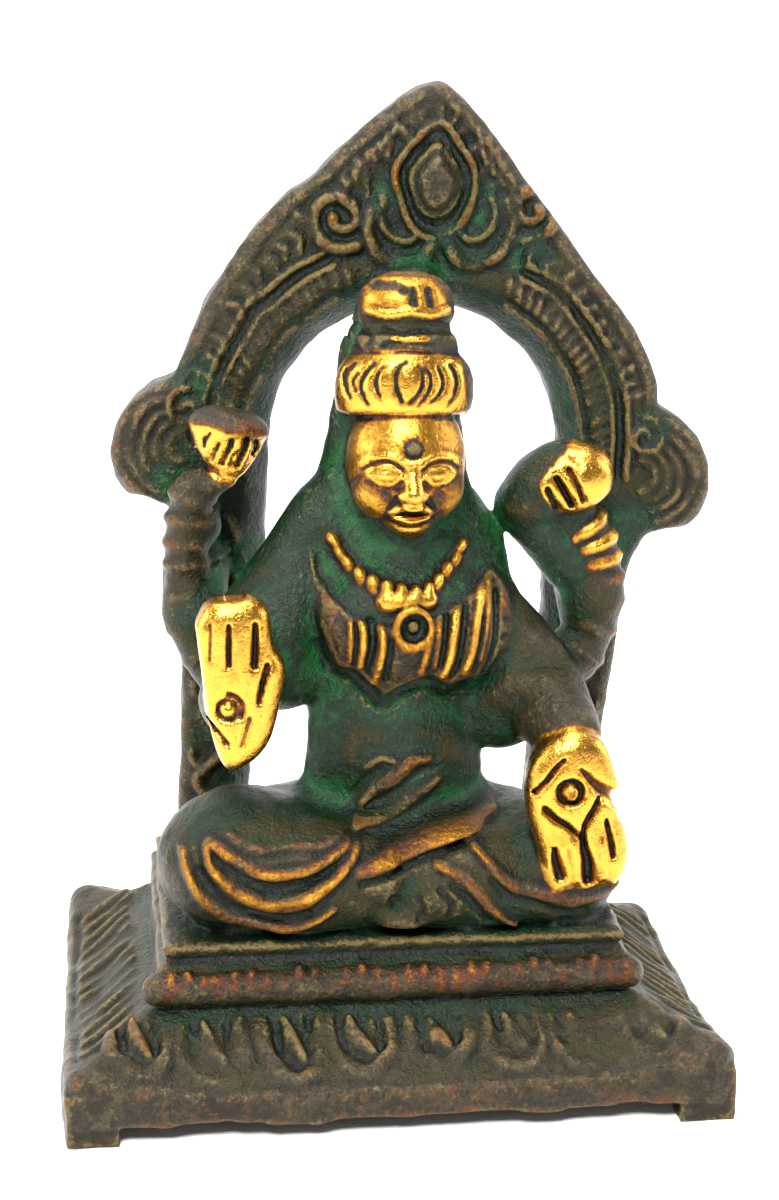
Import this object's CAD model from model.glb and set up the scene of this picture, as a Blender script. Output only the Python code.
import math

import bpy
import numpy as np
from mathutils import Matrix, Vector


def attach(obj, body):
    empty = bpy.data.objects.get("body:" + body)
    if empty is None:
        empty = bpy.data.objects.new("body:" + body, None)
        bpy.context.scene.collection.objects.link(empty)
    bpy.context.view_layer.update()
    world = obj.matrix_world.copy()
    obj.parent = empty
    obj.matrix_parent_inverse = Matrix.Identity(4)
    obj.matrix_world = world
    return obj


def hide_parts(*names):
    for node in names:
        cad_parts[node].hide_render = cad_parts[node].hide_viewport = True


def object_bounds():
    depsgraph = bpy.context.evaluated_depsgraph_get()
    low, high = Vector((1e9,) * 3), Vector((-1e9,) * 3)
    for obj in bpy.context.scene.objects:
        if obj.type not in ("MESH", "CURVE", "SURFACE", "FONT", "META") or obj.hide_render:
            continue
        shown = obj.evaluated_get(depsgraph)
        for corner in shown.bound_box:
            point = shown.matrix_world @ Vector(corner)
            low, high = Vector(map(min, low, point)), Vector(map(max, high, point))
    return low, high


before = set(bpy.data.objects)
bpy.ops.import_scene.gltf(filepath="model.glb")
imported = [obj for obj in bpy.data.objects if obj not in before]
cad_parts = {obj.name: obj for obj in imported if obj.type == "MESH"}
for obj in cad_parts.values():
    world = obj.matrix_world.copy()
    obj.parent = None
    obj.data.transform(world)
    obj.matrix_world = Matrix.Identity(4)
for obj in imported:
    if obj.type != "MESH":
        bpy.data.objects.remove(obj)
cad_low, cad_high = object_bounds()

# The camera stands a little to the left of the figure and looks slightly down on it.
# The casting is described in millimetres from the middle of the plinth's front half, and
# the frame's box says how far that point lies from the frame's origin.
MM = 0.001
CASTING_LOW_CORNER = Vector((-30.2, -21.5, 0))
casting_shift = Vector(cad_low) / MM - CASTING_LOW_CORNER
CAMERA_AZIMUTH = math.radians(-7.6)
CAMERA_ELEVATION = math.radians(14.63)
CAMERA_ROLL = math.radians(0.98)
CAMERA_DISTANCE = 198.2
CAMERA_TARGET = Vector((0.53, 0, 43.26))
CAMERA_LENS = 64.28


def place_camera():
    ahead = Vector((
        -math.sin(CAMERA_AZIMUTH) * math.cos(CAMERA_ELEVATION),
        math.cos(CAMERA_AZIMUTH) * math.cos(CAMERA_ELEVATION),
        -math.sin(CAMERA_ELEVATION),
    ))
    right = ahead.cross(Vector((0, 0, 1))).normalized()
    up = right.cross(ahead)
    rolled_right = right * math.cos(CAMERA_ROLL) + up * math.sin(CAMERA_ROLL)
    rolled_up = up * math.cos(CAMERA_ROLL) - right * math.sin(CAMERA_ROLL)
    camera = bpy.data.objects.new("camera", bpy.data.cameras.new("camera"))
    bpy.context.scene.collection.objects.link(camera)
    bpy.context.scene.camera = camera
    turn = Matrix((rolled_right, rolled_up, -ahead)).transposed().to_4x4()
    spot = (CAMERA_TARGET + casting_shift - ahead * CAMERA_DISTANCE) * MM
    camera.matrix_world = Matrix.Translation(spot) @ turn
    camera.data.sensor_width = 36
    camera.data.lens = CAMERA_LENS
    camera.data.clip_start = 0.01


place_camera()


# The plinth is a shallow tray, hollow underneath, that stands on four corner feet. It is
# cast in one with all that is above it, so the whole statue is worked up here as the wax
# that the mould was made round: a grid that holds each point's distance to its surface.
FINE_PITCH = 0.22
WAX_LOW = (-33, -25, -1.5)
WAX_HIGH = (35, 27, 92.5)
FAR = 3.0


def rounded_off(a, b, blend):
    """The lesser of two distances, with the corner between them filled over the blend."""
    overlap = np.maximum(blend - np.abs(a - b), 0) / max(blend, 1e-6)
    return np.minimum(a, b) - overlap * overlap * (blend * 0.25)


def unevenness(counts, pitch, size, seed):
    """Smooth seeded noise over a grid, its lumps of a size in millimetres."""
    knots = [int(count * pitch / size) + 3 for count in counts]
    grid = np.random.default_rng(seed).uniform(-1, 1, knots).astype(np.float32)
    for axis, count in enumerate(counts):
        place = np.arange(count) * pitch / size + 0.5
        away = np.abs(place[:, None] - np.arange(knots[axis]))
        share = np.where(away < 1, 0.5 + 0.5 * np.cos(math.pi * away), 0).astype(np.float32)
        grid = np.moveaxis(np.tensordot(share, grid, (1, axis)), 0, axis)
    return grid


class Wax:
    def __init__(self, low, high, pitch):
        self.low = np.array(low, np.float32)
        self.pitch = pitch
        self.counts = np.ceil((np.array(high) - self.low) / pitch).astype(int) + 1
        self.field = np.full(self.counts, FAR, np.float32)
        self.polish = np.zeros(self.counts, np.float32)
        self.green = np.zeros(self.counts, np.float32)

    def block(self, low, high, reach):
        """The grid's points within reach of a box: their slices and their coordinates."""
        first = np.floor((np.array(low) - reach - self.low) / self.pitch).astype(int)
        last = np.ceil((np.array(high) + reach - self.low) / self.pitch).astype(int) + 1
        first = np.clip(first, 0, self.counts - 1)
        last = np.clip(last, first + 1, self.counts)
        slices = tuple(slice(a, b) for a, b in zip(first, last))
        axes = [
            self.low[i] + self.pitch * np.arange(first[i], last[i], dtype=np.float32)
            for i in range(3)
        ]
        return slices, np.meshgrid(*axes, indexing="ij", sparse=True)

    def nearest(self, forms, reach):
        low = np.min([form[0] for form in forms], axis=0)
        high = np.max([form[1] for form in forms], axis=0)
        slices, _ = self.block(low, high, reach)
        found = np.full([s.stop - s.start for s in slices], FAR, np.float32)
        for form_low, form_high, distance in forms:
            inner, at = self.block(form_low, form_high, reach)
            within = tuple(slice(i.start - s.start, i.stop - s.start) for i, s in zip(inner, slices))
            found[within] = np.minimum(found[within], distance(*at))
        return slices, found

    def press(self, *forms, blend=0.5, polish=0.0, green=0.0):
        """Presses forms on, and fills the corner where they meet what is there. Polish and
        green say how far the finished metal is rubbed bright or has gone green."""
        slices, found = self.nearest(forms, 2.6)
        self.field[slices] = rounded_off(self.field[slices], found, blend)
        share = smooth_step(found, 0.55, 0.0)
        for sheet, value in ((self.polish, polish), (self.green, green)):
            sheet[slices] += (value - sheet[slices]) * share

    def cut(self, *forms, blend=0.2):
        """Cuts forms away."""
        slices, found = self.nearest(forms, 0.8)
        self.field[slices] = -rounded_off(-self.field[slices], found, blend)

    def at(self, points):
        """The distance at any points, read between the grid's own."""
        place = (np.asarray(points, np.float32) - self.low) / self.pitch
        place = np.clip(place, 0, self.counts - 1.001)
        base = place.astype(int)
        rest = place - base
        total = np.zeros(len(place), np.float32)
        for corner in np.ndindex(2, 2, 2):
            share = np.prod(np.where(corner, rest, 1 - rest), axis=1)
            i, j, k = (base + corner).T
            total += share * self.field[i, j, k]
        return total

    def skin(self, places, start=-20.0, stop=6.0):
        """The depth of the first surface met from the front at each place."""
        depths = np.arange(start, stop, 0.1, dtype=np.float32)
        places = np.asarray(places, np.float32)
        line = np.empty((len(places), len(depths), 3), np.float32)
        line[..., 0] = places[:, :1]
        line[..., 1] = depths
        line[..., 2] = places[:, 1:]
        inside = self.at(line.reshape(-1, 3)).reshape(len(places), len(depths)) < 0
        return depths[np.argmax(inside, axis=1)]

    def emboss(self, relief, reach=2.2):
        """Raises and sinks the front of the figure by a relief laid over it."""
        low = (relief.low[0], self.low[1], relief.low[1])
        high = (relief.low[0] + relief.pitch * (relief.ground.shape[0] - 1), WAX_HIGH[1],
                relief.low[1] + relief.pitch * (relief.ground.shape[1] - 1))
        slices, (x, y, z) = self.block(low, high, -self.pitch)
        part = self.field[slices]
        inside = part < 0
        met = inside.any(axis=1)
        front = y.ravel()[np.argmax(inside, axis=1)]
        away = np.abs(y - front[:, None, :])
        share = smooth_step(away, reach + 1, reach) * met[:, None, :]
        across, up = x[:, 0, :], z[:, 0, :]
        self.field[slices] = part - relief.at(across, up)[:, None, :] * share
        for sheet, painted in ((self.polish, relief.polish), (self.green, relief.green)):
            value = relief.at(across, up, painted)[:, None, :] * share
            sheet[slices] = np.clip(np.maximum(sheet[slices], value) + np.minimum(value, 0), 0, 1)


def ball(centre, radii, turn=(0, 0, 0)):
    """An egg form, turned about X, Y and Z by degrees."""
    radii = np.array(radii, np.float32)
    reach = float(radii.max()) if any(turn) else radii
    axes = np.eye(3)
    for angle, axis in zip(turn, "XYZ"):
        axes = np.array(Matrix.Rotation(math.radians(angle), 3, axis)) @ axes

    def distance(x, y, z):
        offset = (x - centre[0], y - centre[1], z - centre[2])
        local = [sum(axes[k][i] * offset[k] for k in range(3)) for i in range(3)]
        first = np.sqrt(sum((q / r) ** 2 for q, r in zip(local, radii)))
        second = np.sqrt(sum((q / (r * r)) ** 2 for q, r in zip(local, radii)))
        return first * (first - 1) / np.maximum(second, 1e-5)

    return np.array(centre) - reach, np.array(centre) + reach, distance


def spread(points, count):
    """Points spaced evenly along a smooth curve through the given ones."""
    points = np.array(points, float)
    padded = np.vstack([2 * points[0] - points[1], points, 2 * points[-1] - points[-2]])
    fine = []
    for i in range(1, len(padded) - 2):
        p0, p1, p2, p3 = padded[i - 1:i + 3]
        for t in np.arange(0, 1, 0.05):
            fine.append(0.5 * (
                2 * p1 + (p2 - p0) * t + (2 * p0 - 5 * p1 + 4 * p2 - p3) * t ** 2
                + (3 * p1 - p0 - 3 * p2 + p3) * t ** 3
            ))
    fine = np.vstack([fine, points[-1]])
    run = np.concatenate([[0], np.cumsum(np.linalg.norm(np.diff(fine, axis=0), axis=1))])
    wanted = np.linspace(0, run[-1], count)
    return np.stack([np.interp(wanted, run, fine[:, k]) for k in range(points.shape[1])], axis=1)


def rod(points, radii, flat=None, pieces=None):
    """A rod along a smooth curve, its radius running through the given ones. Flat squeezes
    its section along a direction."""
    points = np.array(points, float)
    length = np.linalg.norm(np.diff(points, axis=0), axis=1).sum()
    radii = np.atleast_1d(np.array(radii, float))
    if pieces is None:
        pieces = int(max(2, min(40, length / 0.8, max(len(points) - 1, len(radii) - 1) * 8)))
    line = spread(points, pieces + 1)
    sizes = np.interp(np.linspace(0, 1, pieces + 1), np.linspace(0, 1, max(len(radii), 2)),
                      radii if len(radii) > 1 else [radii[0], radii[0]])
    squeeze = None
    if flat:
        squeeze = np.array(flat[0], float)
        squeeze = squeeze / np.linalg.norm(squeeze)
    forms = []
    for a, b, ra, rb in zip(line[:-1], line[1:], sizes[:-1], sizes[1:]):
        def distance(x, y, z, a=a, ab=b - a, ra=ra, rb=rb):
            px, py, pz = x - a[0], y - a[1], z - a[2]
            along = (px * ab[0] + py * ab[1] + pz * ab[2]) / max(float(ab @ ab), 1e-9)
            along = np.clip(along, 0, 1)
            px, py, pz = px - along * ab[0], py - along * ab[1], pz - along * ab[2]
            square = px * px + py * py + pz * pz
            if squeeze is not None:
                over = px * squeeze[0] + py * squeeze[1] + pz * squeeze[2]
                square = square + over * over * (1 / flat[1] ** 2 - 1)
                return (np.sqrt(square) - (ra + along * (rb - ra))) * flat[1] ** 0.5
            return np.sqrt(square) - (ra + along * (rb - ra))

        size = max(ra, rb)
        forms.append((np.minimum(a, b) - size, np.maximum(a, b) + size, distance))
    return forms


def outline_distance(corners, u, v):
    """Each point's distance to a closed outline, less than nothing inside it."""
    corners = np.array(corners, np.float32)
    square = np.full(np.broadcast(u, v).shape, 1e9, np.float32)
    inside = np.zeros(square.shape, bool)
    for (ax, ay), (bx, by) in zip(corners, np.roll(corners, -1, axis=0)):
        ex, ey = bx - ax, by - ay
        along = np.clip(((u - ax) * ex + (v - ay) * ey) / max(ex * ex + ey * ey, 1e-9), 0, 1)
        square = np.minimum(square, (u - ax - along * ex) ** 2 + (v - ay - along * ey) ** 2)
        crossing = (ay > v) != (by > v)
        slope = ex / ey if abs(ey) > 1e-9 else 0.0
        inside ^= crossing & (u < ax + (v - ay) * slope)
    return np.where(inside, -1, 1) * np.sqrt(square)


class Relief:
    """Carving on a flat sheet: heights in millimetres over across and up."""

    def __init__(self, low, high, pitch=0.1):
        self.low = np.array(low, float)
        self.pitch = pitch
        counts = np.ceil((np.array(high) - self.low) / pitch).astype(int) + 1
        self.u = (self.low[0] + pitch * np.arange(counts[0]))[:, None]
        self.v = (self.low[1] + pitch * np.arange(counts[1]))[None, :]
        self.ground = np.zeros(counts, np.float32)
        self.raised = np.zeros(counts, np.float32)
        self.sunk = np.zeros(counts, np.float32)
        self.polish = np.zeros(counts, np.float32)
        self.green = np.zeros(counts, np.float32)

    def area(self, outline, height, edge, polish=0.0, green=0.0):
        """Raises or sinks all inside an outline, with a sloping edge."""
        share = smooth_step(-outline_distance(outline, self.u, self.v), -edge / 2, edge / 2)
        self.ground += height * share
        self.polish = np.maximum(self.polish, polish * share)
        self.green += green * share

    def stroke(self, points, width, height, smooth=True, polish=0.0):
        """A raised line with a round top, or a groove if the height is less than nothing.
        Width, half across, and height may be lists that run along it."""
        points = np.array(points, float)
        if smooth and len(points) > 2:
            points = spread(points, max(len(points) * 4, 8))
        widths = self.along(width, len(points))
        heights = self.along(height, len(points))
        sheet = self.raised if heights.sum() > 0 else self.sunk
        pick = np.maximum if heights.sum() > 0 else np.minimum
        for i in range(len(points) - 1):
            a, b = points[i], points[i + 1]
            reach = max(widths[i], widths[i + 1]) + self.pitch
            first = np.floor((np.minimum(a, b) - reach - self.low) / self.pitch).astype(int)
            last = np.ceil((np.maximum(a, b) + reach - self.low) / self.pitch).astype(int) + 1
            first = np.clip(first, 0, np.array(sheet.shape) - 1)
            last = np.clip(last, first + 1, sheet.shape)
            u = self.u[first[0]:last[0]]
            v = self.v[:, first[1]:last[1]]
            run = b - a
            along = ((u - a[0]) * run[0] + (v - a[1]) * run[1]) / max(float(run @ run), 1e-9)
            along = np.clip(along, 0, 1)
            off = np.hypot(u - a[0] - along * run[0], v - a[1] - along * run[1])
            wide = widths[i] + along * (widths[i + 1] - widths[i])
            high = heights[i] + along * (heights[i + 1] - heights[i])
            bump = high * np.clip(1 - (off / wide) ** 2, 0, 1)
            region = (slice(first[0], last[0]), slice(first[1], last[1]))
            sheet[region] = pick(sheet[region], bump)
            if polish:
                rubbed = polish * np.clip(1.6 - 1.6 * (off / wide) ** 2, 0, 1)
                self.polish[region] = np.maximum(self.polish[region], rubbed)
            elif high[0].max() < 0:
                self.polish[region] *= 1 - 0.9 * np.clip(1.5 - 1.5 * (off / wide) ** 2, 0, 1)

    @staticmethod
    def along(value, count):
        value = np.atleast_1d(np.array(value, float))
        if len(value) == 1:
            return np.full(count, value[0])
        return np.interp(np.linspace(0, 1, count), np.linspace(0, 1, len(value)), value)

    def settle(self, rounds=1, wander=0.0, wear=0.0, seed=1):
        """Joins the sheets and softens them as casting does. Wander bends the lines by some
        millimetres, and wear takes a share of their height away in patches."""
        lines = self.raised + self.sunk
        if wear:
            counts = lines.shape
            lines = lines * (1 - wear * smooth_step(unevenness(counts, self.pitch, 2.6, seed), -0.5, 0.6))
        height = self.ground + lines
        if wander:
            across = self.u + wander * unevenness(height.shape, self.pitch, 3.2, seed + 1)
            up = self.v + wander * unevenness(height.shape, self.pitch, 3.2, seed + 2)
            height = self.at(across, up, height)
        for _ in range(rounds):
            for axis in (0, 1):
                before = np.roll(height, 1, axis)
                after = np.roll(height, -1, axis)
                height = height * 0.5 + (before + after) * 0.25
        self.height = height

    def at(self, u, v, sheet=None):
        sheet = self.height if sheet is None else sheet
        place_u = np.clip((u - self.low[0]) / self.pitch, 0, sheet.shape[0] - 1.001)
        place_v = np.clip((v - self.low[1]) / self.pitch, 0, sheet.shape[1] - 1.001)
        i, j = place_u.astype(int), place_v.astype(int)
        s, t = place_u - i, place_v - j
        near = sheet[i, j] * (1 - s) + sheet[i + 1, j] * s
        far = sheet[i, j + 1] * (1 - s) + sheet[i + 1, j + 1] * s
        return near * (1 - t) + far * t


def smooth_step(value, low, high):
    t = np.clip((value - low) / (high - low), 0, 1)
    return t * t * (3 - 2 * t)


wax = Wax(WAX_LOW, WAX_HIGH, FINE_PITCH)

PLINTH_HALF = 30.0
PLINTH_FRONT = -21.3
PLINTH_BACK_LEFT = 24.0
PLINTH_BACK_RIGHT = 14.3
SEAT_HALF = 22.5
SEAT_FRONT = -14.2
SEAT_BACK_LEFT = 17.0
SEAT_BACK_RIGHT = 9.0
PLINTH_CORNER_RADIUS = 2.4
APRON_FOOT = 1.8
EDGE_HEIGHT = 4.9
SHOULDER_RISE = 3.7
SHOULDER_WIDTH = 6.2
CORNER_LIFT = 1.7
WALL = 2.8
SEAT_TOP = 15.2
plinth_plan = [
    (-PLINTH_HALF, PLINTH_FRONT), (PLINTH_HALF, PLINTH_FRONT),
    (PLINTH_HALF, PLINTH_BACK_RIGHT), (-PLINTH_HALF, PLINTH_BACK_LEFT),
]
seat_plan = [
    (-SEAT_HALF, SEAT_FRONT), (SEAT_HALF, SEAT_FRONT),
    (SEAT_HALF, SEAT_BACK_RIGHT), (-SEAT_HALF, SEAT_BACK_LEFT),
]


def plan_distance(plan, x, y, radius):
    """Distance to a plan whose corners are rounded."""
    middle = np.mean(plan, axis=0)
    inner = [
        (px - math.copysign(radius, px - middle[0]), py - math.copysign(radius, py - middle[1]))
        for px, py in plan
    ]
    return outline_distance(inner, x, y) - radius


shoulder = Relief((-32, -24), (32, 27))


def shoulder_height(x, y, inset):
    """The shoulder slopes up from the edge to the seat and is lifted at the corners."""
    rise = SHOULDER_RISE * np.clip((inset - 0.9) / SHOULDER_WIDTH, 0, 1)
    corner = 1e9
    for px, py in plinth_plan:
        corner = np.minimum(corner, np.hypot(x - px, y - py))
    lift = CORNER_LIFT * np.exp(-(corner / 7.5) ** 2)
    sag = 0.35 * smooth_step(np.abs(x), 8, 26)
    return EDGE_HEIGHT + rise * (1 - 0.5 * np.exp(-(corner / 7.0) ** 2)) + lift + sag


PETALS = 8
PETAL_PITCH = 6.6


def draw_petals():
    """Upturned lotus petals along the front, each a rim, a bent tongue and a dark hollow."""
    rng = np.random.default_rng(5)
    for i in range(PETALS):
        middle = (i - (PETALS - 1) / 2) * PETAL_PITCH - 0.2 + rng.uniform(-0.4, 0.4)
        fade = (1 - 0.5 * smooth_step(middle, 0, 24)) * rng.uniform(0.9, 1.2)
        half = PETAL_PITCH * rng.uniform(0.36, 0.43)
        rim = [
            (middle - half, -14.9), (middle - half, -17.2), (middle - half * 0.55, -19.0),
            (middle, -19.7), (middle + half * 0.55, -19.0), (middle + half, -17.2),
            (middle + half, -14.9),
        ]
        shoulder.stroke(rim, 0.85, 0.6 * fade)
        tongue = [(middle - 0.7, -15.0), (middle - 0.2, -16.6), (middle + 0.7, -17.9)]
        shoulder.stroke(tongue, [0.4, 0.95, 0.5], 0.8 * fade, polish=0.34 * fade)
        for shift in (-2.0, -1.2, 1.5, 2.6):
            foot = middle + shift + rng.uniform(-0.3, 0.3)
            slant = [(foot - 0.4, -14.8), (foot + 0.5, -16.4)]
            shoulder.stroke(slant, 0.34, 0.4 * rng.uniform(0.4, 1), polish=0.2)
        for side in (-1, 1):
            groove = [(middle + side * 1.6, -15.2), (middle + side * 1.5, -17.4)]
            shoulder.stroke(groove, 0.6, -0.5 * fade)


SIDE_LEAVES = 13


def draw_side_leaves():
    """A row of slanting leaf strokes on each side slope, inside a rim groove."""
    for side, back in ((-1, 15.5), (1, 9.0)):
        for i in range(SIDE_LEAVES):
            depth = np.interp(i, (0, SIDE_LEAVES - 1), (-15.5, back))
            low = (side * 28.3, depth - 0.6)
            bend = (side * 26.2, depth + 0.3)
            high = (side * 23.9, depth + 2.2)
            shoulder.stroke([low, bend, high], [0.4, 0.6, 0.4], 0.5)
        shoulder.stroke([(side * 28.9, -17), (side * 28.9, back + 1)], 0.5, -0.35)


draw_petals()
draw_side_leaves()
shoulder.settle(2, wander=0.5, wear=0.7, seed=21)


def plinth_tray(x, y, z):
    outer = plan_distance(plinth_plan, x, y, PLINTH_CORNER_RADIUS)
    inset = -outer
    top = shoulder_height(x, y, inset) + shoulder.at(x + 0 * y, y + 0 * x)
    foot = APRON_FOOT + 0.25 * smooth_step(x, 5, 26)
    upper = (z - top) * 0.87
    bulge = 0.25 * np.sin(np.clip((z - 1) / 5.5, 0, 1) * math.pi)
    side = outer + 0.25 - bulge
    edge = 1.1
    corner = np.maximum(side + edge, 0) ** 2 + np.maximum(upper + edge, 0) ** 2
    body = np.sqrt(corner) - edge + np.minimum(np.maximum(side, upper) + edge, 0)
    return np.maximum(body, foot - z)


def hollow_of(plan, wall, ceiling):
    def distance(x, y, z):
        draft = (z / ceiling) * 2.0
        return np.maximum(plan_distance(plan, x, y, 2.0) + wall + draft, z - ceiling)
    return (-32, -24, -2), (32, 26, ceiling), distance


FOOT_HALF = 2.4


def foot_post(px, py):
    def distance(x, y, z):
        side = np.maximum(np.abs(x - px), np.abs(y - py)) - FOOT_HALF
        return np.maximum(side, np.maximum(-z, z - 5))
    return (px - 3, py - 3, 0), (px + 3, py + 3, 5), distance


wax.press(((-31, -22.5, 1), (31, 25, 12), plinth_tray), blend=0, polish=0.12)
posts = []
for px, py in plinth_plan:
    inward_x = px - math.copysign(FOOT_HALF + 0.25, px)
    inward_y = py - math.copysign(FOOT_HALF + 0.3, py)
    posts.append(foot_post(inward_x, inward_y))
wax.press(*posts, blend=0.5)
wax.cut(hollow_of(plinth_plan, WALL, 4.6), blend=0.3)


# The seat is a stepped block on the plinth, with a ribbed roll along its lower step and a
# groove over it. It is hollow too, open to the plinth's underside.
RIBS = 30
RIB_PITCH = 1.42
seat_profile = [
    (7.0, -0.3), (8.9, -0.1), (9.3, 0.25), (9.6, 1.0), (12.9, 1.1), (13.2, 1.5), (13.7, 1.9),
    (14.1, 1.7), (14.7, 1.5), (15.2, 2.1),
]


def seat_block(x, y, z):
    heights, insets = zip(*seat_profile)
    inset = np.interp(z.ravel(), heights, insets).reshape(z.shape)
    side = plan_distance(seat_plan, x, y, 1.4) + inset
    return np.maximum(side * 0.95, z - SEAT_TOP)


def seat_roll():
    """The ribbed roll, proud of the seat's front, with fainter ribs at its ends."""
    forms = []
    for i in range(RIBS):
        x = (i - (RIBS - 1) / 2) * RIB_PITCH + 0.2
        low = 0.3 * math.sin(i * 1.7)
        forms.append(ball((x, SEAT_FRONT + 0.72, 11.2), (0.7, 1.05 - 0.3 * low, 1.6 + low), (0, 6, 0)))
    return forms


wax.press(((-23.5, -15, 7), (23.5, 18, 15.2), seat_block), blend=0.5)
wax.press(*rod([(-21.3, SEAT_FRONT + 1, 11.2), (21.3, SEAT_FRONT + 1, 11.2)], 1.5), blend=0.3)
wax.press(*seat_roll(), blend=0.2, polish=0.36)
wax.cut(hollow_of(seat_plan, WALL, SEAT_TOP - WALL), blend=0.3)


# The arch stands behind the figure, leaning and turned a little, with its feet in the seat.
# Its front carries bands in relief round a round-headed opening, a drop under its point,
# a scroll on each side of the drop, and a leaf-like flare at each side.
ARCH_PLACE = (0.95, 6.6)
ARCH_TURN = math.radians(-5)
ARCH_LEAN = math.radians(3.2)
ARCH_LEAN_HEIGHT = 12.0
ARCH_BACK = 3.9
ARCH_FRONT = -1.2
ARCH_TOP = 90.0
OPENING_RADIUS = 13.6
OPENING_CENTRE = 56.5
RIM_ROUND = 1.3
post_and_flare = [
    (20, 10), (20.5, 30), (21.2, 46), (22.6, 49.2), (24.5, 50.2), (26.4, 50.4),
    (27.8, 51.9), (28.4, 54.1), (27.9, 56.9), (26.6, 59.2), (24.8, 60.7),
]
right_limb = [
    (22.6, 61.9), (22.3, 64.2), (20.4, 67.9), (17.8, 71.4), (14.5, 75), (10.9, 79),
    (7.3, 83.2), (3.6, 87.4), (1.2, 89.5),
]
left_limb = [
    (-22.7, 61.9), (-21.6, 65), (-20.3, 68.3), (-18.4, 71.8), (-15.9, 76.1), (-13.3, 79.3),
    (-11.4, 80.5), (-7.3, 84.8), (-4, 88), (-1.9, 89.5),
]
arch_carving = Relief((-31, 10), (31, 92))


def mirrored(points):
    return [(-u, v) for u, v in points]


def arc(radius, start, end, count=12):
    """Points on a circle about the opening's centre, between two angles in degrees."""
    angles = np.radians(np.linspace(start, end, count))
    return np.stack([
        radius * np.cos(angles), OPENING_CENTRE + radius * np.sin(angles)], axis=1)


ARCH_GREEN = [(4.6, 79.5, 2.6), (-4.4, 79.5, 2.2), (3.8, 76.6, 3.4), (0.0, 73.4, 4.6), (9.4, 75.2, 3.0),
              (-21, 62, 3.2), (21.6, 49.5, 4.0), (22.4, 60.0, 2.6), (-22.6, 51.5, 3.0)]


def draw_arch_ground():
    """The opening's edge slopes back, and the scrolls' field lies a little deeper."""
    u, v = arch_carving.u, arch_carving.v
    from_opening = np.hypot(u, np.maximum(v - OPENING_CENTRE, 0)) - OPENING_RADIUS
    slope = -1.7 * (1 - smooth_step(from_opening, 0.0, 2.6))
    top_field = -0.5 * smooth_step(v, 72, 75) * (1 - smooth_step(np.abs(u), 8, 13))
    arch_carving.ground[:] = slope + top_field
    arch_carving.green[:] = 1 - smooth_step(from_opening, 1.6, 3.8)
    for middle_u, middle_v, reach in ARCH_GREEN:
        near = 1 - smooth_step(np.hypot(u - middle_u, v - middle_v), reach * 0.5, reach)
        arch_carving.green[:] = np.maximum(arch_carving.green, near * 0.9)


BAND_INNER = 20.4
ROPE_RADIUS = 17.4


def draw_bands():
    """From the opening outwards: a fine wire, a hatched rope, two wires and a band of
    slanting strokes under the smooth rim."""
    for start, end in ((-4, 62), (118, 184)):
        arch_carving.stroke(arc(15.9, start + 4, end), 0.35, 0.45)
        arch_carving.stroke(arc(16.3, start, end), 0.5, -0.35)
        arch_carving.stroke(arc(ROPE_RADIUS, start, end), 1.35, 0.65)
        arch_carving.stroke(arc(18.75, start, end), 0.45, 0.65)
        arch_carving.stroke(arc(19.4, start, end), 0.55, -0.45)
        arch_carving.stroke(arc(20.2, start, end), 0.45, 0.6)
        rng = np.random.default_rng(7)
        for even in np.arange(start, end, 3.4):
            angle = even + rng.uniform(-0.9, 0.9)
            slant = math.radians(angle)
            lean = math.radians(angle + (1.6 if angle < 90 else -1.6))
            inner = (16.5 * math.cos(slant), OPENING_CENTRE + 16.5 * math.sin(slant))
            outer = (18.4 * math.cos(lean), OPENING_CENTRE + 18.4 * math.sin(lean))
            arch_carving.stroke([inner, outer], 0.3, -0.3)


def draw_outer_strokes():
    """Slanting strokes across the outer band, bent like feathers."""
    rng = np.random.default_rng(11)
    for limb, side in ((right_limb, 1), (left_limb, -1)):
        line = spread(limb, 60)
        run = np.gradient(line, axis=0)
        run /= np.linalg.norm(run, axis=1)[:, None]
        inward = np.stack([-run[:, 1], run[:, 0]], axis=1) * side
        for i in range(2, 56, 3):
            base = line[i] + inward[i] * rng.uniform(1.5, 2.6)
            tip = line[i] + inward[i] * rng.uniform(3.6, 5.0) - run[i] * rng.uniform(0.6, 1.8)
            bend = (base + tip) / 2 + run[i] * (0.45 + 0.2 * rng.random())
            size = 0.5 + 0.6 * rng.random()
            arch_carving.stroke([base, bend, tip], [0.4, 0.6, 0.3], 0.4 * size)
            groove = [base + run[i] * 0.55, bend + run[i] * 0.6, tip + run[i] * 0.5]
            arch_carving.stroke(groove, 0.3, -0.35 * size)
        arch_carving.stroke(line + inward * 1.5, 0.4, -0.25, smooth=False)


DROP_MIDDLE = (0.05, 81.2)
DROP_HALF_WIDTH = 3.5
DROP_HALF_HEIGHT = 5.2


def drop_outline(size, count=36):
    """A drop's outline, pinched towards its point."""
    angles = np.linspace(0.5 * math.pi, 2.5 * math.pi, count)
    pinch = 1 - 0.42 * np.maximum(np.sin(angles), 0) ** 2
    return np.stack([
        DROP_MIDDLE[0] + size * DROP_HALF_WIDTH * np.cos(angles) * pinch,
        DROP_MIDDLE[1] + size * DROP_HALF_HEIGHT * np.sin(angles)], axis=1)


def draw_drop():
    arch_carving.stroke(drop_outline(1.0), 0.5, 1.1, smooth=False)
    inner = outline_distance(drop_outline(0.58), arch_carving.u, arch_carving.v)
    arch_carving.ground += (1.3 * smooth_step(-inner, -0.4, 1.3)).astype(np.float32)
    arch_carving.stroke(drop_outline(0.6), 0.3, 0.5, smooth=False)
    arch_carving.stroke(drop_outline(0.8), 0.35, -0.35, smooth=False)
    arch_carving.stroke([(0.1, 86.3), (0.2, 88.2)], [0.5, 0.3], 0.6)
    for side in (-1, 1):
        arch_carving.stroke([(side * 1.3, 86.0), (side * 1.7, 87.3), (side * 0.9, 88.2)], 0.3, 0.4)


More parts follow.
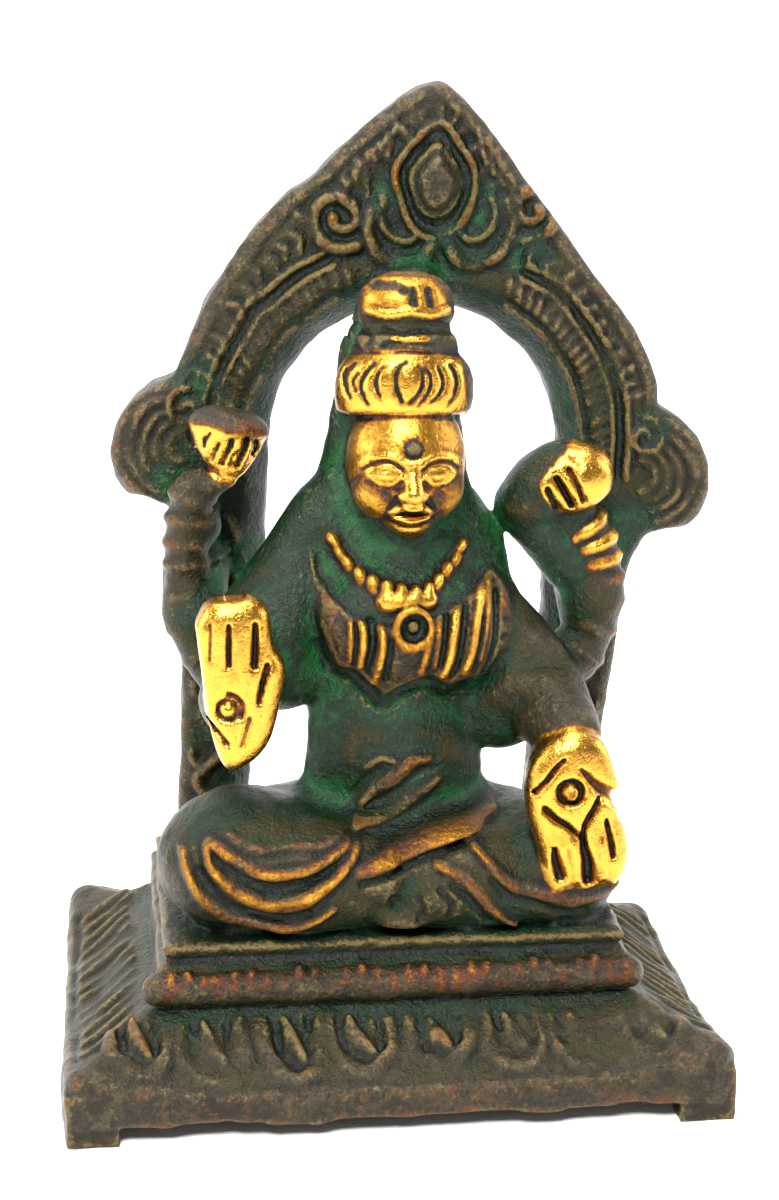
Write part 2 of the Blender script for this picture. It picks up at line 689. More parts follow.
def spiral(middle, radius, start, turns, shrink=0.8, count=40):
    """A line that winds in from its outer end."""
    t = np.linspace(0, 1, count)
    angles = np.radians(start) + t * turns * 2 * math.pi
    reach = radius * (1 - shrink * t)
    return np.stack([middle[0] + reach * np.cos(angles), middle[1] + reach * np.sin(angles)], axis=1)


LEFT_SCROLL = (-8.3, 77.4)
RIGHT_SCROLL = (9.0, 79.2)


def draw_scrolls():
    """Each scroll winds into a boss and springs from a double cup under the drop."""
    arch_carving.stroke(spiral(LEFT_SCROLL, 3.0, -60, -1.35), 0.75, [1.1, 1.3], smooth=False)
    arch_carving.stroke(spiral(RIGHT_SCROLL, 2.9, -130, 1.35), 0.75, [1.1, 1.3], smooth=False)
    left_cup = [(-5.6, 78.2), (-6.0, 76.2), (-4.9, 74.2), (-2.8, 73.4), (-0.9, 74.1), (0.1, 75.4)]
    right_cup = [(6.6, 79.6), (7.4, 77.6), (6.6, 75.2), (4.6, 73.9), (2.6, 74.4), (1.2, 76.0)]
    arch_carving.stroke(left_cup, 0.8, 1.2)
    arch_carving.stroke(right_cup, 0.8, 1.2)
    left_inner = [(-4.7, 79.4), (-4.9, 77.4), (-3.9, 75.9), (-2.2, 75.6), (-1.2, 76.4)]
    right_inner = [(5.2, 79.8), (5.6, 77.8), (4.7, 76.4), (3.2, 76.2), (2.3, 77.0)]
    arch_carving.stroke(left_inner, 0.5, 0.9)
    arch_carving.stroke(right_inner, 0.5, 0.9)
    for side in (-1, 1):
        for k in range(5):
            low = (side * (4.4 + k * 0.9), 80.2 + (4 - k) * 0.9 - 0.6)
            high = (side * (3.8 + k * 0.75), 82.3 + (4 - k) * 0.95)
            arch_carving.stroke([low, high], [0.35, 0.25], 0.55)


FLARE_HEART = (21.2, 55.4)


def draw_flares():
    """Nested lobes, with fine grooves between them and a small curl at the spring."""
    for side in (-1, 1):
        for k in range(5):
            reach = 1.7 + k * 1.25
            line = []
            for angle in np.radians(np.linspace(82, -68, 12)):
                line.append((
                    side * (FLARE_HEART[0] + reach * math.cos(angle)),
                    FLARE_HEART[1] + reach * 0.84 * math.sin(angle),
                ))
            arch_carving.stroke(line, 0.62, 0.75 - 0.08 * k)
        curl = spiral((side * 21.5, 58.8), 1.9, 90 if side > 0 else 90, side * -1.2)
        arch_carving.stroke(curl, 0.5, 0.9, smooth=False)


def draw_posts():
    """A wavy stem with side curls runs down each post."""
    for side in (-1, 1):
        stem = [(side * (17.6 + 1.2 * math.sin(z * 0.9)), z) for z in np.arange(18, 50, 1.6)]
        arch_carving.stroke(stem, 0.7, 0.7)
        for z in np.arange(20, 48, 3.5):
            bow = math.copysign(1, math.sin(z * 0.9))
            curl = [(side * 17.6, z), (side * (17.6 + bow * 1.7), z + 0.9),
                    (side * (17.6 + bow * 1.9), z + 2.2)]
            arch_carving.stroke(curl, 0.4, 0.5)


draw_arch_ground()
draw_bands()
draw_outer_strokes()
draw_drop()
draw_scrolls()
draw_flares()
draw_posts()
arch_carving.settle(3, wander=0.3, wear=0.6, seed=31)


def arch_outline():
    left = mirrored(post_and_flare) + left_limb
    opening = arc(OPENING_RADIUS, 180, 0, 24)
    return np.vstack([
        [(OPENING_RADIUS, 10)], post_and_flare, right_limb, [(0, ARCH_TOP)], left[::-1],
        [(-OPENING_RADIUS, 10)], opening,
    ])


arch_edge = Relief((-33, 8), (33, 94), 0.2)
arch_edge.height = outline_distance(arch_outline(), arch_edge.u, arch_edge.v)
for _ in range(6):
    for blur_axis in (0, 1):
        arch_edge.height = (
            arch_edge.height * 0.5
            + 0.25 * np.roll(arch_edge.height, 1, blur_axis)
            + 0.25 * np.roll(arch_edge.height, -1, blur_axis)
        )


def to_arch(x, y, z):
    """A place's coordinates in the arch's own upright plane."""
    dx, dy, dz = x - ARCH_PLACE[0], y - ARCH_PLACE[1], z - ARCH_LEAN_HEIGHT
    turned_x = dx * math.cos(ARCH_TURN) + dy * math.sin(ARCH_TURN)
    depth = dy * math.cos(ARCH_TURN) - dx * math.sin(ARCH_TURN)
    across = turned_x * math.cos(ARCH_LEAN) - dz * math.sin(ARCH_LEAN)
    up = turned_x * math.sin(ARCH_LEAN) + dz * math.cos(ARCH_LEAN) + ARCH_LEAN_HEIGHT
    return across, depth, up


def arch_plate(x, y, z):
    across, depth, up = to_arch(x, y, z)
    across, depth, up = np.broadcast_arrays(across, depth, up)
    edge = arch_edge.at(across, up)
    front = ARCH_FRONT - arch_carving.at(across, up)
    side = edge + RIM_ROUND
    near = front - depth + RIM_ROUND
    rounded = np.sqrt(np.maximum(side, 0) ** 2 + np.maximum(near, 0) ** 2) - RIM_ROUND
    rounded += np.minimum(np.maximum(side, near), 0)
    back = depth - ARCH_BACK
    return np.maximum(rounded, np.maximum(back, np.maximum(edge - 0.1, 10.5 - z)))


def green_arch():
    """The opening's edge and the hollows of the carving have gone green."""
    slices, places = wax.block((-31, -1, 10.5), (34, 16, 91.5), 0)
    across, depth, up = to_arch(*places)
    tint = arch_carving.at(across, up, arch_carving.green)
    wax.green[slices] = np.maximum(wax.green[slices], tint)


wax.press(((-31, -1, 10.5), (34, 16, 91.5), arch_plate), blend=0.6, polish=0.06)
green_arch()


# The figure sits cross-legged on the seat, its lap a broad smooth mass with the knees at
# its sides. The dress lies over it in raised folds, three hanging curves on the left knee,
# two on the right, and a sash drawn up between them.
LEG_LINE = [(-16, -8, 20.5), (-7, -9.2, 20), (1, -9.0, 19.4), (8, -8.8, 19.4), (16, -7.6, 19.6)]


def press_lap():
    wax.press(ball((0, -1.5, 19.2), (20.3, 10.2, 7.0)), blend=1.0)
    wax.press(ball((-13.6, -6.4, 21), (7.6, 7.6, 6.4)), blend=1.5)
    wax.press(ball((15.2, -6, 20), (6.4, 7.6, 5.8)), blend=1.5)
    wax.press(*rod(LEG_LINE, [4.6, 5.3, 4.0, 4.8, 4.6]), blend=1.2)
    wax.press(ball((-1.6, -12.2, 20.4), (2.0, 1.8, 1.6)), blend=1.0)
    wax.press(ball((3.6, -12.2, 18.6), (2.6, 1.9, 2.2)), blend=1.0)
    wax.press(ball((0.6, -12.0, 17.0), (2.4, 1.7, 1.2)), blend=1.0)


def draw_lap():
    lap = Relief((-24, 12), (24, 32))
    lap.stroke([(-15.1, 25.1), (-12.1, 24.0), (-8.3, 24.1), (-5.3, 24.6)], 0.35, 0.3, polish=0.25)
    lap.stroke([(-16.7, 24.6), (-15.3, 24.0), (-14.1, 23.1), (-12.7, 22.3), (-11, 21.9), (-9.2, 22.1),
                (-7.5, 22.8), (-5.9, 23.6), (-4.6, 24.2)], [0.45, 0.75, 0.8, 0.7, 0.4], 0.8, polish=0.3)
    lap.stroke([(-16.9, 24.4), (-16.6, 23.2), (-15.7, 21.8), (-14.2, 20.4), (-12.2, 19.4),
                (-10.2, 19.2), (-8.4, 19.8), (-6.7, 21.0), (-5.1, 22.4), (-3.8, 23.9)],
               [0.4, 0.75, 0.9, 0.9, 0.8, 0.5], 0.95, polish=0.34)
    lap.stroke([(-18.9, 23.6), (-18.6, 21.8), (-17.6, 19.8), (-15.9, 18.1), (-14.0, 17.1), (-12.1, 16.7),
                (-9.6, 16.8), (-7.5, 17.6), (-5.8, 18.8)], [0.5, 0.8, 0.8, 0.7, 0.4], 0.7, polish=0.3)
    lap.stroke([(-14.6, 22.9), (-13.2, 21.6), (-11, 20.8), (-8.8, 21.1), (-6.4, 22.3)], 0.7, -0.45)
    lap.stroke([(-17.4, 22.2), (-16.2, 20.2), (-14.0, 18.6), (-11, 17.9), (-8.2, 18.4)], 0.6, -0.45)
    lap.stroke([(-3.6, 22.2), (-1.7, 22.6), (0.7, 23.2), (3.0, 23.8), (5.6, 24.3), (7.7, 24.6), (10.2, 24.9)],
               [0.8, 0.9, 0.9, 0.7, 0.3], [0.5, 0.8, 0.8, 0.7, 0.4], polish=0.3)
    lap.stroke([(-3.3, 20.9), (-1.3, 21.5), (0.6, 22.0), (3.0, 22.6), (5.8, 23.2)], 0.5, -0.6)
    lap.stroke([(3.3, 22.1), (4.8, 21.5), (6.2, 20.6), (7.3, 19.5), (8.4, 18.3), (9.9, 16.9), (11.1, 15.9)],
               [0.4, 0.7, 0.7, 0.6, 0.3], 0.7, polish=0.24)
    lap.stroke([(6.9, 23.3), (8.3, 22.1), (9.4, 20.9), (11.1, 19.8), (13.4, 19.0), (15.6, 18.7), (18.8, 18.6),
                (20.6, 19.2)], [0.4, 0.7, 0.9, 0.9, 0.7], 0.75, polish=0.22)
    lap.stroke([(4.6, 20.3), (6.6, 18.6), (8.4, 16.6)], 0.5, -0.5)
    lap.stroke([(8.4, 20.7), (10.6, 18.9), (13.6, 17.7), (17, 17.3)], 0.6, -0.5)
    lap.stroke([(-0.5, 19.2), (-0.3, 18.7)], 0.7, -0.7)
    lap.stroke([(3.4, 20.2), (4.6, 18.8), (4.4, 17.4)], 0.4, -0.4)
    lap.stroke([(1.6, 19.4), (2.0, 18.2), (1.6, 17.2)], 0.4, -0.4)
    lap.stroke([(-19.6, 17.1), (-14.5, 16.0), (-8, 15.7), (-2, 15.9), (6, 15.5), (14, 15.6)], 0.5, -0.35)
    lap.stroke([(-13.4, 23.0), (-10.8, 22.9), (-8.2, 23.3)], 0.45, 0.3, polish=0.2)
    lap.area([(-20, 26), (-18, 24), (-12, 26.4), (-3, 25), (4, 26), (12, 26), (14, 31), (-20, 31)], 0.0, 2.0,
             green=0.6)
    lap.area([(-6, 16), (-5, 20.5), (4, 21.5), (12, 17.5), (10, 15.5)], 0.0, 2.0, green=0.4)
    lap.settle(2, wander=0.3, wear=0.35, seed=41)
    wax.emboss(lap)


press_lap()
draw_lap()


# The body rises from the lap as one solid mass, waist and belly plain and rough. The
# bodice is a raised sheet over the chest, hanging in pleats, and a bead necklace with a
# ringed pendant lies on it.
def press_body():
    waist = [(1.1, -1, 22), (1.0, -1, 28), (0.9, -0.8, 34), (1.1, -0.8, 40)]
    wax.press(*rod(waist, [8.6, 8.3, 7.9, 7.9], flat=((0, 1, 0), 0.66)), blend=1.5, green=0.9)
    wax.press(ball((1.0, -1.6, 29.4), (7.2, 5.4, 5.6)), blend=1.5, green=0.8)
    wax.press(ball((1.3, -2.3, 42), (8.3, 6.0, 6.6)), blend=1.0, green=0.9)
    wax.press(ball((-2.6, -3.6, 41.2), (3.6, 4.0, 4.2)), blend=1.5)
    wax.press(ball((5.6, -3.6, 41.2), (3.8, 4.0, 4.4)), blend=1.5)
    veil_left = [(-2.3, 0.6, 55.4), (-6, 0.6, 50.4), (-8.8, 0.4, 46.4), (-11.8, 0, 41)]
    wax.press(*rod(veil_left, [2.8, 3.3, 3.2, 3.8]), blend=1.5, green=0.9)
    veil_right = [(2, -0.4, 48), (7.4, -0.2, 45.4), (10.4, -0.4, 41)]
    wax.press(*rod(veil_right, [4.6, 3.2, 3]), blend=1.5, green=0.9)
    veil = [(0.9, 1.2, 42), (0.9, 1.2, 46), (0.9, 1.2, 50.6), (0.9, 1.2, 54.6), (0.9, 1.2, 59.6),
            (0.8, 1.2, 63), (0.6, 1.2, 66.4), (0.4, 1.2, 69.4)]
    wax.press(*rod(veil, [11.8, 10.6, 8.2, 6.9, 6.3, 5.6, 5.0, 3.4], flat=((0, 1, 0), 0.5)),
              blend=1.0, green=1.0)


BODICE_EDGE = [
    (-7.2, 48.8), (-6.5, 46.4), (-5.5, 45.0), (-3.9, 43.9), (-1.7, 43.3), (1.4, 42.8), (4.1, 43.8),
    (5.6, 44.4), (7.1, 45.3), (8.9, 46.8), (9.5, 46.8), (10.9, 44.7), (11.6, 42.2), (11.6, 40.2),
    (10.9, 38.6), (9.4, 37.6), (6.9, 37.8), (5.2, 37.0), (3.4, 38.4), (1.4, 37.6), (-0.6, 36.2),
    (-2.2, 37.4), (-3.2, 38.9), (-4.6, 38.7), (-5.7, 40.4), (-6.7, 42.7), (-7.2, 45.6),
]


HEM_SHADOW = [
    (11.8, 39.2), (9.4, 36.6), (6.9, 36.8), (5.2, 36.0), (3.4, 37.2), (1.4, 36.6), (-0.6, 35.2), (-2.2, 36.4),
    (-3.4, 37.8), (-5.4, 38.0), (-6.9, 40.2),
]


def draw_bodice():
    bodice = Relief((-10, 34), (14, 52))
    bodice.area(BODICE_EDGE, 0.7, 0.5, polish=0.16, green=-0.45)
    for points, width, height, polish in (
        ([(-6.2, 45.4), (-5.6, 43.3), (-4.9, 40.6)], 0.75, 0.2, 0.16),
        ([(-4.1, 43.4), (-4.1, 41.4), (-3.9, 39.7)], 0.3, 0.35, 0.4),
        ([(-3.1, 43.3), (-3.0, 41.6), (-3.1, 39.2)], 0.45, 0.45, 0.5),
        ([(-1.3, 43.0), (-1.2, 41.0), (-1.4, 38.8), (-1.8, 37.5)], 0.45, 0.5, 0.5),
        ([(3.0, 41.4), (2.7, 40.0), (2.3, 38.8)], 0.45, 0.45, 0.45),
        ([(4.0, 43.4), (3.8, 41.4), (3.6, 39.4)], 0.3, 0.35, 0.3),
        ([(5.5, 44.1), (5.2, 42.1), (4.9, 39.8), (4.3, 37.8)], 0.5, 0.55, 0.62),
        ([(8.1, 45.6), (7.5, 43.5), (7.1, 41.0), (6.5, 38.6)], 0.52, 0.6, 0.56),
        ([(8.9, 46.2), (8.6, 44.0), (8.2, 41.7), (7.8, 39.7)], 0.35, 0.4, 0.4),
        ([(10.3, 44.2), (10.7, 41.9), (10.6, 40.0), (9.9, 38.4)], 0.7, 0.25, 0.3),
    ):
        bodice.stroke(points, width, height, polish=polish)
    for points, width, depth in (
        ([(-3.65, 43.4), (-3.6, 41), (-3.5, 39.2)], 0.26, -0.55),
        ([(-2.2, 43.4), (-2.15, 42.4), (-2.2, 41.0), (-2.3, 38.6)], [0.55, 0.5, 0.3], [-1.0, -0.8, -0.5]),
        ([(-0.4, 41.6), (-0.5, 40.2), (-0.6, 38.0)], 0.4, -0.5),
        ([(4.6, 43.6), (4.4, 41.4), (4.1, 39.2)], 0.32, -0.7),
        ([(6.4, 44.6), (6.2, 42.4), (5.8, 40), (5.3, 38.2)], 0.36, -0.8),
        ([(8.1, 43.4), (7.9, 41.4), (7.4, 39)], 0.22, -0.4),
        ([(9.5, 44.8), (9.5, 42), (9.1, 39.4), (8.4, 38)], 0.4, -0.7),
        ([(10.4, 42.6), (11.2, 42.4)], 0.25, -0.35),
        ([(10.3, 41.0), (11.2, 40.8)], 0.25, -0.35),
    ):
        bodice.stroke(points, width, depth)
    bodice.stroke(HEM_SHADOW, 0.9, -0.9)
    bodice.settle(2, wander=0.25, wear=0.3, seed=51)
    wax.emboss(bodice)


def draw_waist():
    """A knotted sash and two folds over the belly."""
    waist = Relief((-7, 21), (8, 34))
    for points, width, height, polish in (
        ([(-2.6, 25.9), (-1.4, 27.1), (-0.1, 28.1), (0.8, 29.0), (1.8, 29.8), (3.6, 30.1)],
         [0.5, 0.75, 0.95, 0.8, 0.4], 0.7, 0.22),
        ([(0.1, 29.8), (-1.0, 30.1), (-2.3, 29.1)], [0.5, 0.45, 0.3], 0.5, 0.16),
        ([(-3.3, 24.9), (-0.5, 25.2), (1.6, 26.3), (3.7, 27.4), (4.5, 28.0)], [0.5, 0.8, 0.8, 0.4], 0.6, 0.2),
    ):
        waist.stroke(points, width, height, polish=polish)
    waist.stroke([(0.4, 27.2), (1.6, 28.1), (3.0, 28.8), (4.6, 29.2)], 0.45, -0.4)
    waist.stroke([(-3.4, 26.6), (-2.4, 27.8), (-1.0, 28.9)], 0.4, -0.4)
    waist.settle(2, wander=0.3, wear=0.2, seed=61)
    wax.emboss(waist)


NECKLACE_LINE = [(-5.0, 49.6), (-4.4, 48.4), (-3.5, 47.3), (-2.5, 46.6), (-1.3, 46.0), (0.0, 45.6),
                 (1.6, 45.4), (3.0, 45.7), (4.2, 46.6), (5.1, 47.4), (6.0, 48.1), (6.5, 49.0)]
NECKLACE_BEADS = 13
PENDANT = (1.6, 42.9)


def press_necklace():
    line = spread(NECKLACE_LINE, NECKLACE_BEADS)
    depths = wax.skin(line)
    beads = []
    for i, ((x, z), depth) in enumerate(zip(line, depths)):
        middle = 1 - abs(i - (NECKLACE_BEADS - 1) / 2) / (NECKLACE_BEADS / 2)
        lean = np.interp(i, (0, NECKLACE_BEADS - 1), (-40, 40))
        size = (0.5 + 0.14 * middle, 0.9, 0.85 + 0.45 * middle)
        beads.append(ball((x, depth, z), size, (0, lean, 0)))
    wax.press(*beads, blend=0.25, polish=0.66)
    clasp = [(-0.7, 45.1), (1.5, 45.0), (3.1, 45.2)]
    clasp_depth = float(wax.skin(clasp).mean()) + 0.3
    wax.press(*rod([(x, clasp_depth, z) for x, z in clasp], [0.85, 1.0, 0.85]), blend=0.4, polish=0.8)
    ring_depth = float(wax.skin([PENDANT])[0]) - 0.1
    turn = np.radians(np.linspace(0, 360, 25))
    ring = [(PENDANT[0] + 1.6 * math.cos(a), ring_depth, PENDANT[1] + 1.75 * math.sin(a)) for a in turn]
    wax.cut(ball((PENDANT[0], ring_depth - 0.3, PENDANT[1]), (1.5, 1.3, 1.6)), blend=0.2)
    wax.press(*rod(ring, 0.36), blend=0.2, polish=0.5)
    wax.press(ball((PENDANT[0], ring_depth + 0.7, PENDANT[1]), (0.6, 0.6, 0.6)), blend=0.15)


press_body()
draw_bodice()
draw_waist()
press_necklace()


# The head is a calm idol's face in the style of small village castings, laid out by the
# usual thirds from hairline to brow, to the foot of the nose, to the chin.
HEAD_X = 1.3
CHIN = 50.8
HAIRLINE = 61.4
THIRD = (HAIRLINE - CHIN) / 3
BROW = HAIRLINE - THIRD
NOSE = BROW - THIRD
MOUTH = NOSE - THIRD / 3
FACE_HALF = 5.3
EYE_OUT = FACE_HALF * 0.42
EYE_LINE = BROW - THIRD * 0.34


def press_face():
    middle = (CHIN + HAIRLINE) / 2 + 1.2
    wax.press(ball((HEAD_X, -3.4, middle), (FACE_HALF, 5.2, middle - CHIN - 0.4)), blend=0.7, polish=0.9)
    wax.press(ball((HEAD_X, -5.6, CHIN + 1.6), (2.0, 2.0, 1.7)), blend=1.6, polish=0.9)
    for side in (-1, 1):
        wax.press(ball((HEAD_X + side * 2.6, -5.6, NOSE + 0.5), (2.0, 2.1, 2.2)), blend=1.4, polish=0.9)
        hollow = (HEAD_X + side * EYE_OUT, -9.0, EYE_LINE + 0.1)
        wax.cut(ball(hollow, (1.7, 1.15, 1.05), (0, side * 6, 0)), blend=1.2)
    nose = [(HEAD_X, -7.9, BROW + 0.2), (HEAD_X, -8.5, BROW - 1.6), (HEAD_X, -9.2, NOSE + 0.7)]
    wax.press(*rod(nose, [0.5, 0.62, 0.9]), blend=0.5, polish=1.0)
    for side in (-1, 1):
        wax.press(ball((HEAD_X + side * 0.85, -8.7, NOSE + 0.45), (0.6, 0.7, 0.5)), blend=0.35, polish=1.0)


def draw_face():
    face = Relief((HEAD_X - 7, 47), (HEAD_X + 7, 63))
    for side in (-1, 1):
        def out(*points):
            return [(HEAD_X + side * across, height) for across, height in points]

        face.stroke(out((0.75, BROW - 0.3), (2.1, BROW + 0.35), (3.5, BROW + 0.2), (4.6, BROW - 0.5)),
                    [0.3, 0.42, 0.4, 0.25], 0.35, polish=1.0)
        face.stroke(out((1.1, EYE_LINE), (2.2, EYE_LINE - 0.02), (3.4, EYE_LINE + 0.05)),
                    [0.3, 0.62, 0.3], [0.3, 0.62, 0.3], polish=1.0)
        face.stroke(out((0.95, EYE_LINE - 0.05), (1.6, EYE_LINE + 0.55), (2.4, EYE_LINE + 0.72),
                        (3.2, EYE_LINE + 0.5), (3.9, EYE_LINE - 0.05)), 0.3, 0.4, polish=1.0)
        face.stroke(out((0.95, EYE_LINE - 0.05), (1.7, EYE_LINE - 0.62), (2.5, EYE_LINE - 0.72),
                        (3.3, EYE_LINE - 0.45), (3.9, EYE_LINE - 0.05)), 0.3, 0.35, polish=0.9)
        face.stroke(out((1.2, EYE_LINE + 1.0), (2.3, EYE_LINE + 1.25), (3.6, EYE_LINE + 0.95)), 0.24, -0.2)
        face.stroke(out((1.35, NOSE + 0.2), (1.75, NOSE - 0.4), (2.0, MOUTH - 0.1)), 0.35, -0.2)
    lip = MOUTH + 0.05
    face.stroke([(HEAD_X - 1.9, lip - 0.1), (HEAD_X - 0.7, lip + 0.5), (HEAD_X, lip + 0.36),
                 (HEAD_X + 0.7, lip + 0.5), (HEAD_X + 1.9, lip - 0.1)], [0.3, 0.52, 0.45, 0.52, 0.3], 0.6,
                polish=1.0)
    face.stroke([(HEAD_X - 1.5, lip - 0.45), (HEAD_X, lip - 0.72), (HEAD_X + 1.5, lip - 0.45)],
                [0.3, 0.62, 0.3], 0.65, polish=1.0)
    face.stroke([(HEAD_X - 2.0, lip - 0.1), (HEAD_X, lip - 0.08), (HEAD_X + 2.0, lip - 0.1)],
                [0.15, 0.2, 0.15], -0.22)
    face.stroke([(HEAD_X - 0.9, lip - 1.35), (HEAD_X + 0.9, lip - 1.35)], 0.35, -0.18)
    face.settle(2)
    wax.emboss(face)
    mark = (HEAD_X, BROW + 1.1)
    mark_depth = float(wax.skin([mark])[0])
    wax.cut(ball((mark[0], mark_depth - 0.1, mark[1]), (1.0, 0.5, 1.0)), blend=0.2)
    wax.press(ball((mark[0], mark_depth + 0.2, mark[1]), (0.62, 0.6, 0.62)), blend=0.1)


# The crown is a wide band cut with bowed strokes either side of an almond, with a tier and
# a cap above it. It is turned a little up, as if the figure raised its head.
CROWN_PLACE = (1.15, -2.6)
CROWN_DEEP = 0.82
CROWN_TIP = 0.15
crown_profile = [
    (5.6, 61.1), (6.0, 61.5), (6.25, 62.6), (6.2, 64.2), (5.9, 65.3), (5.3, 66.1), (4.85, 66.5),
    (4.8, 67.2), (4.5, 68.0), (4.05, 68.3), (3.95, 69.2), (4.2, 69.5), (4.35, 70.1), (4.2, 71.2),
    (3.7, 72.3), (2.7, 73.2), (1.5, 73.7), (0.3, 73.9),
]


def turned(profile, place, deep, tip):
    """A form turned about an upright axis from (radius, height) pairs, squeezed in depth
    and tipped back."""
    radii, heights = zip(*profile)

    def distance(x, y, z):
        around = np.hypot(x - place[0], (y - place[1]) / deep)
        height = z + tip * (y - place[1])
        radius = np.interp(height.ravel(), heights, radii).reshape(height.shape)
        side = (around - radius) * 0.85
        return np.maximum(side, np.maximum(heights[0] - height, height - heights[-1]))

    widest = max(radii)
    lift = tip * widest * deep
    low = (place[0] - widest, place[1] - widest * deep, heights[0] - lift)
    high = (place[0] + widest, place[1] + widest * deep, heights[-1] + lift)
    return low, high, distance


def press_crown():
    wax.press(turned(crown_profile, CROWN_PLACE, CROWN_DEEP, CROWN_TIP), blend=0.3)
    wax.press(*rod([(0.9, -1.5, 70), (3.2, 5.6, 72.4)], 2.4, flat=((0, 0, 1), 0.7)), blend=0.8, green=1.0)


def draw_crown():
    crown = Relief((-7, 58), (9, 76), 0.08)
    crown.area([(-5.4, 61.6), (-4.6, 66.2), (-2.3, 67.2), (0.4, 67.5), (3.8, 67.1), (5.9, 66.2), (6.6, 61.2),
                (1, 60.4)], 0.0, 0.5, polish=1.0)
    for points, width in (
        ([(-3.5, 66.0), (-4.2, 65.2), (-4.3, 64.1), (-3.9, 62.9)], 0.24),
        ([(-3.3, 65.3), (-3.7, 64.5), (-3.5, 63.6)], 0.2),
        ([(-1.9, 66.2), (-2.7, 65.3), (-3.1, 64.3), (-2.9, 63.3), (-2.5, 62.6)], 0.26),
        ([(-1.2, 66.1), (-1.7, 65.3), (-1.9, 64.4), (-1.5, 63.2)], 0.22),
        ([(0.8, 66.5), (0.1, 66.0), (-0.2, 65.0), (-0.1, 64.0), (0.4, 62.9)], 0.28),
        ([(1.6, 66.2), (2.1, 65.5), (2.1, 64.4), (1.6, 63.5), (0.9, 62.8)], 0.3),
        ([(2.3, 66.0), (2.8, 65.2), (2.8, 64.2), (2.4, 63.4), (1.8, 62.8)], 0.26),
        ([(3.5, 66.0), (3.9, 65.0), (4.0, 64.3), (3.5, 63.4), (2.8, 62.9)], 0.26),
        ([(4.7, 66.0), (5.2, 65.1), (5.3, 64.1), (5.0, 63.2), (4.5, 62.6)], 0.3),
    ):
        crown.stroke(points, width * 0.72, [-0.2, -0.42, -0.15])
    crown.stroke([(-1.2, 69.1), (-0.3, 68.8), (0.5, 68.5), (1.2, 68.8), (2.6, 68.9)], 0.22, -0.28)
    crown.stroke([(-1.2, 67.6), (-0.3, 68.0), (0.7, 68.1), (2.1, 67.9), (3.2, 67.8)], 0.22, -0.28)
    crown.stroke([(-0.4, 68.4), (0.7, 68.25), (2.6, 68.3)], 0.3, 0.25, polish=0.9)
    crown.stroke([(-3.2, 67.2), (-3.6, 68), (-2.9, 68.8), (-2.1, 68.3), (-2.5, 67.6)], 0.25, -0.3)
    crown.stroke([(-2.4, 70.6), (-0.6, 70.3), (1.0, 70.7), (2.8, 70.3), (4.6, 70.6)], 0.5, 0.35, polish=0.75)
    cap_face = [(-2.8, 70.2), (-2.9, 72), (-1.6, 73.4), (3, 73.4), (4.4, 72), (4.6, 70.2)]
    crown.area(cap_face, 0.0, 0.4, polish=0.72)
    crown.stroke([(-1.9, 72.7), (-0.3, 72.8), (0.7, 72.4)], 0.45, -0.2)
    crown.stroke([(1.3, 72.4), (1.4, 71.4)], 0.5, -0.2)
    crown.stroke([(2.7, 72.4), (2.9, 71.4)], 0.5, -0.18)
    crown.settle(2)
    wax.emboss(crown)


press_face()
press_crown()
draw_face()
draw_crown()


# Four arms leave the shoulders. The front pair come forward to the two open hands; the
# rear pair rise, ringed with bangles, against the arch that steadies them.
LEFT_REAR_ARM = [(-14.6, 1, 35), (-17.6, 2.2, 40), (-18.2, 2.4, 46), (-18.0, 1.8, 50.5), (-17.5, 1.2, 53.4)]
RIGHT_REAR_ARM = [(14.2, -0.6, 36), (18.4, 0.2, 37.8), (20.3, 0.8, 43.2), (19.6, 0.6, 48.4), (17.6, 0, 51.6)]


def press_bangles(arm, places, half, thick, polish):
    """Rings round an arm at parts of its length."""
    line = spread(arm, 101)
    forms = []
    for place in places:
        i = int(place * 100)
        run = line[min(i + 1, 100)] - line[max(i - 1, 0)]
        lean = math.degrees(math.atan2(run[0], run[2]))
        forms.append(ball(line[i], (half, half, thick), (0, lean, 0)))
    wax.press(*forms, blend=0.5, polish=polish)


